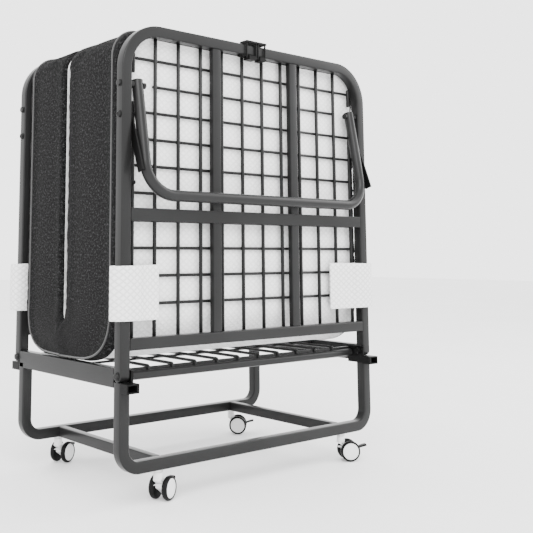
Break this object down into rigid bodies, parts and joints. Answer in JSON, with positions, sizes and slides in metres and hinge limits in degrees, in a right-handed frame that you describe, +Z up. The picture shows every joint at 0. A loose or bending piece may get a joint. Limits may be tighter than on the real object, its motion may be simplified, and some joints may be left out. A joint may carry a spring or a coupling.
{
  "type": "rollaway bed",
  "caption": "Folding rollaway bed, shown folded upright on castors: tube frame halves on side pivots, U-shaped swing legs, wire deck, halved mattress, corner straps and top latch.",
  "frame": {"origin": "on the floor, under the middle of the folded bed", "axes": "+Z up from the floor, X across the width of the bed, Y through the folded depth with the latch side at -Y"},
  "size_m": [0.816, 0.55, 1.03],
  "materials": {
    "frame_paint": "satin",
    "black_steel": "satin",
    "wire_steel": "satin",
    "bolt_zinc": "satin",
    "bumper_rubber": "matte",
    "strap_fabric": "quilted",
    "ticking_fabric": "knitted",
    "castor_hood": "satin",
    "castor_tread": "satin",
    "brake_pedal": "satin"
  },
  "bodies": {
    "base": {"base_frame_front": "frame_paint", "base_frame_back": "frame_paint", "base_bar_left": "frame_paint", "base_bar_right": "frame_paint", "center_rail_left": "frame_paint", "center_rail_right": "frame_paint", "center_tube_front": "frame_paint", "center_tube_back": "frame_paint", "center_wires": "wire_steel", "hinge_bracket_fl": "black_steel", "hinge_bracket_fr": "black_steel", "hinge_bracket_bl": "black_steel", "hinge_bracket_br": "black_steel", "hinge_bolts": "bolt_zinc", "caster_stems": "bolt_zinc", "mattress_fold": "ticking_fabric"},
    "front_half": {"front_frame": "frame_paint", "front_stile_left": "frame_paint", "front_stile_right": "frame_paint", "front_crossbar_mid": "frame_paint", "front_crossbar_low": "frame_paint", "front_wire_grid": "wire_steel", "front_leg_stop_left": "black_steel", "front_leg_stop_right": "black_steel", "front_bolts": "bolt_zinc", "front_strap_left": "strap_fabric", "front_strap_right": "strap_fabric", "mattress_front": "ticking_fabric", "front_bumpers": "bumper_rubber", "latch_bracket": "black_steel"},
    "back_half": {"back_frame": "frame_paint", "back_stile_left": "frame_paint", "back_stile_right": "frame_paint", "back_crossbar_mid": "frame_paint", "back_crossbar_low": "frame_paint", "back_wire_grid": "wire_steel", "back_leg_stop_left": "black_steel", "back_leg_stop_right": "black_steel", "back_bolts": "bolt_zinc", "back_strap_left": "strap_fabric", "back_strap_right": "strap_fabric", "mattress_back": "ticking_fabric", "back_bumpers": "bumper_rubber"},
    "front_leg": {"front_leg": "frame_paint"},
    "back_leg": {"back_leg": "frame_paint"},
    "latch_hook": {"latch_hook": "black_steel"},
    "latch_loop": {"latch_loop": "black_steel"},
    "caster_fl": {"caster_fl_body": "castor_hood"},
    "caster_fl_wheels": {"caster_fl_wheels": "castor_tread"},
    "caster_fl_brake": {"caster_fl_brake": "brake_pedal"},
    "caster_fr": {"caster_fr_body": "castor_hood"},
    "caster_fr_wheels": {"caster_fr_wheels": "castor_tread"},
    "caster_fr_brake": {"caster_fr_brake": "brake_pedal"},
    "caster_bl": {"caster_bl_body": "castor_hood"},
    "caster_bl_wheels": {"caster_bl_wheels": "castor_tread"},
    "caster_bl_brake": {"caster_bl_brake": "brake_pedal"},
    "caster_br": {"caster_br_body": "castor_hood"},
    "caster_br_wheels": {"caster_br_wheels": "castor_tread"},
    "caster_br_brake": {"caster_br_brake": "brake_pedal"}
  },
  "joints": [
    {"name": "fold_front", "type": "hinge", "parent": "base", "child": "front_half", "pos_m": [0, -0.22, 0.266], "axis": [1, 0, 0], "range_deg": [0, 90]},
    {"name": "fold_back", "type": "hinge", "parent": "base", "child": "back_half", "pos_m": [0, 0.22, 0.266], "axis": [-1, 0, 0], "range_deg": [0, 90]},
    {"name": "leg_front", "type": "hinge", "parent": "front_half", "child": "front_leg", "pos_m": [0, -0.22, 0.883], "axis": [-1, 0, 0], "range_deg": [0, 80]},
    {"name": "leg_back", "type": "hinge", "parent": "back_half", "child": "back_leg", "pos_m": [0, 0.22, 0.883], "axis": [1, 0, 0], "range_deg": [0, 80]},
    {"name": "latch_hook_swing", "type": "hinge", "parent": "front_half", "child": "latch_hook", "pos_m": [0, -0.236, 0.988], "axis": [1, 0, 0], "range_deg": [0, 100]},
    {"name": "latch_loop_swing", "type": "hinge", "parent": "front_half", "child": "latch_loop", "pos_m": [0, -0.236, 0.988], "axis": [1, 0, 0], "range_deg": [0, 100]},
    {"name": "swivel_fl", "type": "hinge", "parent": "base", "child": "caster_fl", "pos_m": [-0.288, -0.2195, 0.05], "axis": [0, 0, 1], "continuous": true},
    {"name": "roll_fl", "type": "hinge", "parent": "caster_fl", "child": "caster_fl_wheels", "pos_m": [-0.26973, -0.21136, 0.025], "axis": [-0.4067, 0.9135, 0], "continuous": true},
    {"name": "brake_fl", "type": "hinge", "parent": "caster_fl", "child": "caster_fl_brake", "pos_m": [-0.25877, -0.20648, 0.028], "axis": [-0.4067, 0.9135, 0], "range_deg": [0, 12]},
    {"name": "swivel_fr", "type": "hinge", "parent": "base", "child": "caster_fr", "pos_m": [0.288, -0.2195, 0.05], "axis": [0, 0, 1], "continuous": true},
    {"name": "roll_fr", "type": "hinge", "parent": "caster_fr", "child": "caster_fr_wheels", "pos_m": [0.30496, -0.2301, 0.025], "axis": [0.5299, 0.848, 0], "continuous": true},
    {"name": "brake_fr", "type": "hinge", "parent": "caster_fr", "child": "caster_fr_brake", "pos_m": [0.31514, -0.23646, 0.028], "axis": [0.5299, 0.848, 0], "range_deg": [0, 12]},
    {"name": "swivel_bl", "type": "hinge", "parent": "base", "child": "caster_bl", "pos_m": [-0.288, 0.1985, 0.05], "axis": [0, 0, 1], "continuous": true},
    {"name": "roll_bl", "type": "hinge", "parent": "caster_bl", "child": "caster_bl_wheels", "pos_m": [-0.26987, 0.20695, 0.025], "axis": [-0.4226, 0.9063, 0], "continuous": true},
    {"name": "brake_bl", "type": "hinge", "parent": "caster_bl", "child": "caster_bl_brake", "pos_m": [-0.259, 0.21202, 0.028], "axis": [-0.4226, 0.9063, 0], "range_deg": [0, 12]},
    {"name": "swivel_br", "type": "hinge", "parent": "base", "child": "caster_br", "pos_m": [0.288, 0.1985, 0.05], "axis": [0, 0, 1], "continuous": true},
    {"name": "roll_br", "type": "hinge", "parent": "caster_br", "child": "caster_br_wheels", "pos_m": [0.30214, 0.18436, 0.025], "axis": [0.7071, 0.7071, 0], "continuous": true},
    {"name": "brake_br", "type": "hinge", "parent": "caster_br", "child": "caster_br_brake", "pos_m": [0.31063, 0.17587, 0.028], "axis": [0.7071, 0.7071, 0], "range_deg": [0, 12]}
  ]
}
